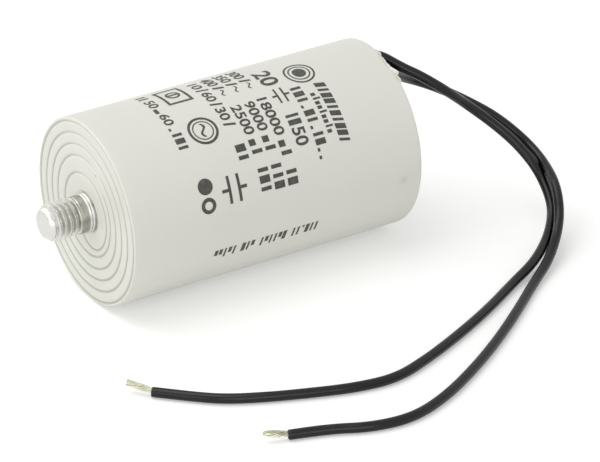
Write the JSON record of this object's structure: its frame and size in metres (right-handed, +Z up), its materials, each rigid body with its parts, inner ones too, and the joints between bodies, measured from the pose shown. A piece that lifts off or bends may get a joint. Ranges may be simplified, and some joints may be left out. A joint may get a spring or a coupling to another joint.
{
  "type": "motor run capacitor",
  "caption": "Cylindrical film capacitor in a moulded plastic case, with a threaded mounting stud in its closed end and insulated leads out of its potted end.",
  "frame": {"origin": "below the middle of the case and stud, on the surface that the case lies on", "axes": "+X along the case towards the leads, the stud points to -X, +Z up"},
  "size_m": [0.1136, 0.0969, 0.04],
  "materials": {
    "case_plastic": "satin",
    "stud_metal": "bright zinc plated",
    "core_plastic": "matt",
    "metallised_film": "glossy",
    "sprayed_metal": "rough sprayed",
    "resin": "satin",
    "lead_insulation": "satin",
    "tinned_copper": "satin",
    "solder": "satin"
  },
  "bodies": {
    "root": {"case": "case_plastic", "mounting_stud": "stud_metal", "winding_core": "core_plastic", "film_winding": "metallised_film", "stud_side_spray": "sprayed_metal", "lead_side_spray": "sprayed_metal", "potting_resin": "resin", "lead_a_inner": "lead_insulation", "lead_a_conductor": "tinned_copper", "far_solder": "solder", "lead_b_inner": "lead_insulation", "lead_b_conductor": "tinned_copper", "near_solder": "solder", "lead_a": "lead_insulation", "lead_b": "lead_insulation", "lead_a_strands": "tinned_copper", "lead_b_strands": "tinned_copper"}
  },
  "joints": []
}
